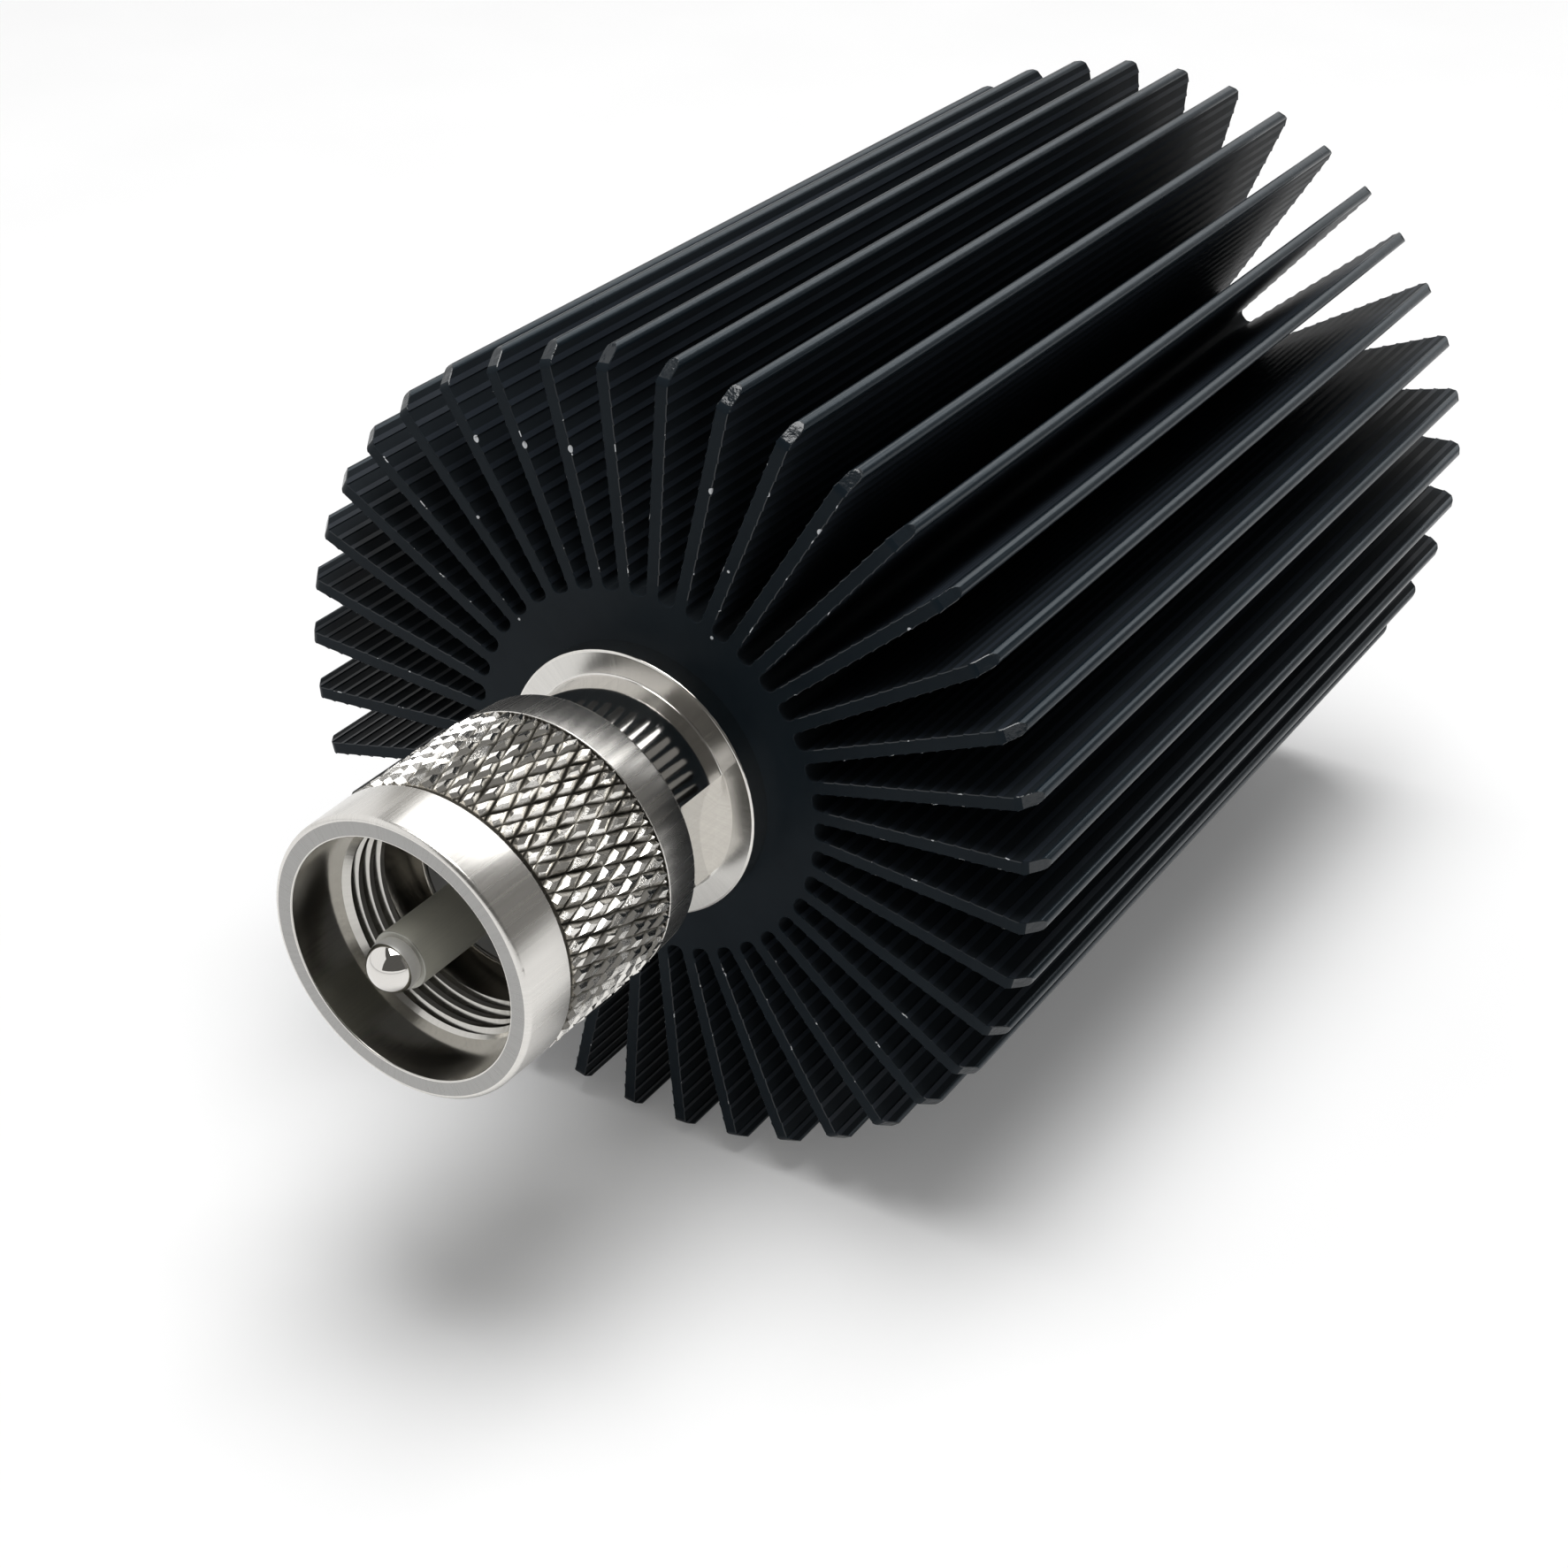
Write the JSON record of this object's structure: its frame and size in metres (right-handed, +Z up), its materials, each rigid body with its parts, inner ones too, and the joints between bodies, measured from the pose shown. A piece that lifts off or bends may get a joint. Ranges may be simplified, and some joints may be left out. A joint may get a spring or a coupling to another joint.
{
  "type": "rf dummy load",
  "caption": "Round coaxial dummy load: a black radial-fin heat sink that absorbs radio power, with a knurled captive coupling nut and centre pin on its front face.",
  "frame": {"origin": "on the surface that the part lies on, under the middle of its length and width", "axes": "+Z up, +Y along the main axis towards the rear of the heat sink, so the connector points to -Y; the two lowest fins rest on the surface"},
  "size_m": [0.0598, 0.1042, 0.0599],
  "materials": {
    "black_anodised_aluminium": "black anodised, satin, bare bright edges",
    "nickel_plated_brass": "nickel plated, polished",
    "nickel_plated_nut": "nickel plated, polished bands and a diamond knurl",
    "nickel_plated_pin": "nickel plated, satin rod and bright tip",
    "ring_spring_steel": "bright spring steel",
    "grey_insulator": "matt grey",
    "white_insulator": "matt white",
    "bare_brass": "turned",
    "nickel_plated_copper": "nickel plated, satin",
    "white_ceramic": "fired ceramic, matt",
    "resistive_film": "thin resistive film, matt",
    "silver_pad": "fired silver, satin",
    "silver_plated_strip": "silver plated, bright",
    "screw_steel": "stainless, turned"
  },
  "bodies": {
    "load": {"heat_sink": "black_anodised_aluminium", "connector_body": "nickel_plated_brass", "centre_pin": "nickel_plated_pin", "front_insulator": "grey_insulator", "rear_insulator": "white_insulator", "insulator_ring": "bare_brass", "resistor_flange": "nickel_plated_copper", "resistor_substrate": "white_ceramic", "resistor_film": "resistive_film", "input_pad": "silver_pad", "ground_pad": "silver_pad", "resistor_lid": "white_ceramic", "resistor_tab": "silver_plated_strip", "resistor_screws": "screw_steel", "screw_washers": "screw_steel"},
    "retainer": {"nut_retaining_ring": "ring_spring_steel"},
    "nut": {"coupling_nut": "nickel_plated_nut"}
  },
  "joints": [
    {"name": "nut_slide", "type": "slide", "parent": "load", "child": "retainer", "axis": [0, -1, 0], "range_m": [0, 0.0011]},
    {"name": "nut_turn", "type": "hinge", "parent": "retainer", "child": "nut", "pos_m": [0, -0.04094, 0.02994], "axis": [0, -1, 0], "continuous": true}
  ]
}
